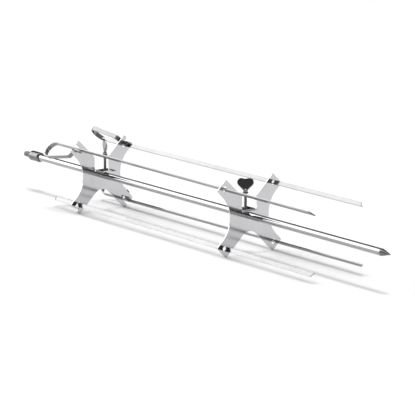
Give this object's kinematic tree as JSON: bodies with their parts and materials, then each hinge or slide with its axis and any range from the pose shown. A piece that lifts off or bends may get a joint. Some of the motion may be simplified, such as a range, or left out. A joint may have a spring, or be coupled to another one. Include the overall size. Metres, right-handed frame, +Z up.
{
  "type": "rotisserie spit roaster",
  "caption": "Pointed rotisserie spit with a square drive end and clamped X-shaped sheet holders that carry flat skewers with finger loops.",
  "frame": {"origin": "middle of the whole length, under the spit's axis, on the surface that the holders' lower arms stand on", "axes": "+X along the spit towards its point, +Y to the back, +Z up"},
  "size_m": [1.064, 0.1482, 0.1391],
  "materials": {
    "spit_steel": "ground and lightly polished stainless steel",
    "sheet_steel": "polished stainless steel sheet with a fine grain",
    "strip_steel": "polished flat stainless steel strip",
    "turned_steel": "turned stainless steel with fine rings",
    "screw_steel": "stainless steel thread and flange",
    "paddle_steel": "tumbled, plated steel"
  },
  "bodies": {
    "spit": {"spit_rod": "spit_steel", "spit_point": "turned_steel", "drive_shank": "turned_steel", "drive_pin": "screw_steel", "spit_collar": "turned_steel", "collar_set_screw": "screw_steel"},
    "left_holder": {"left_holder_plate": "sheet_steel", "left_clinch_nut": "screw_steel"},
    "right_holder": {"right_holder_plate": "sheet_steel", "right_clinch_nut": "screw_steel"},
    "left_screw_feed": {"left_screw_stud": "screw_steel"},
    "left_screw_head": {"left_screw_flange": "screw_steel", "left_screw_paddle": "paddle_steel"},
    "right_screw_feed": {"right_screw_stud": "screw_steel"},
    "right_screw_head": {"right_screw_flange": "screw_steel", "right_screw_paddle": "paddle_steel"},
    "skewer_top_front_body": {"skewer_top_front": "strip_steel"},
    "skewer_top_back_body": {"skewer_top_back": "strip_steel"},
    "skewer_bottom_back_body": {"skewer_bottom_back": "strip_steel"},
    "skewer_bottom_front_body": {"skewer_bottom_front": "strip_steel"}
  },
  "joints": [
    {"name": "left_holder_slide", "type": "slide", "parent": "spit", "child": "left_holder", "axis": [1, 0, 0], "range_m": [-0.06, 0.18]},
    {"name": "right_holder_slide", "type": "slide", "parent": "spit", "child": "right_holder", "axis": [1, 0, 0], "range_m": [-0.18, 0.1]},
    {"name": "left_screw_feed", "type": "slide", "parent": "left_holder", "child": "left_screw_feed", "axis": [0, 0, 1], "range_m": [0, 0.0016]},
    {"name": "left_screw_turn", "type": "hinge", "parent": "left_screw_feed", "child": "left_screw_head", "pos_m": [-0.267, 0, 0.10044], "axis": [0, 0, 1], "range_deg": [0, 720]},
    {"name": "right_screw_feed", "type": "slide", "parent": "right_holder", "child": "right_screw_feed", "axis": [0, 0, 1], "range_m": [0, 0.0016]},
    {"name": "right_screw_turn", "type": "hinge", "parent": "right_screw_feed", "child": "right_screw_head", "pos_m": [0.153, 0, 0.10044], "axis": [0, 0, 1], "range_deg": [0, 720]},
    {"name": "top_front_draw", "type": "slide", "parent": "left_holder", "child": "skewer_top_front_body", "axis": [-1, 0.0032, 0.0032], "range_m": [0, 0.69]},
    {"name": "top_back_draw", "type": "slide", "parent": "left_holder", "child": "skewer_top_back_body", "axis": [-1, 0.0032, -0.0032], "range_m": [0, 0.69]},
    {"name": "bottom_back_draw", "type": "slide", "parent": "left_holder", "child": "skewer_bottom_back_body", "axis": [-1, -0.0032, -0.0032], "range_m": [0, 0.69]},
    {"name": "bottom_front_draw", "type": "slide", "parent": "left_holder", "child": "skewer_bottom_front_body", "axis": [-1, -0.0029, 0.0029], "range_m": [0, 0.69]}
  ],
  "couplings": [
    {"joint": "left_screw_turn", "follows": "left_screw_feed", "rad_per_m": 7854},
    {"joint": "right_screw_turn", "follows": "right_screw_feed", "rad_per_m": 7854}
  ]
}
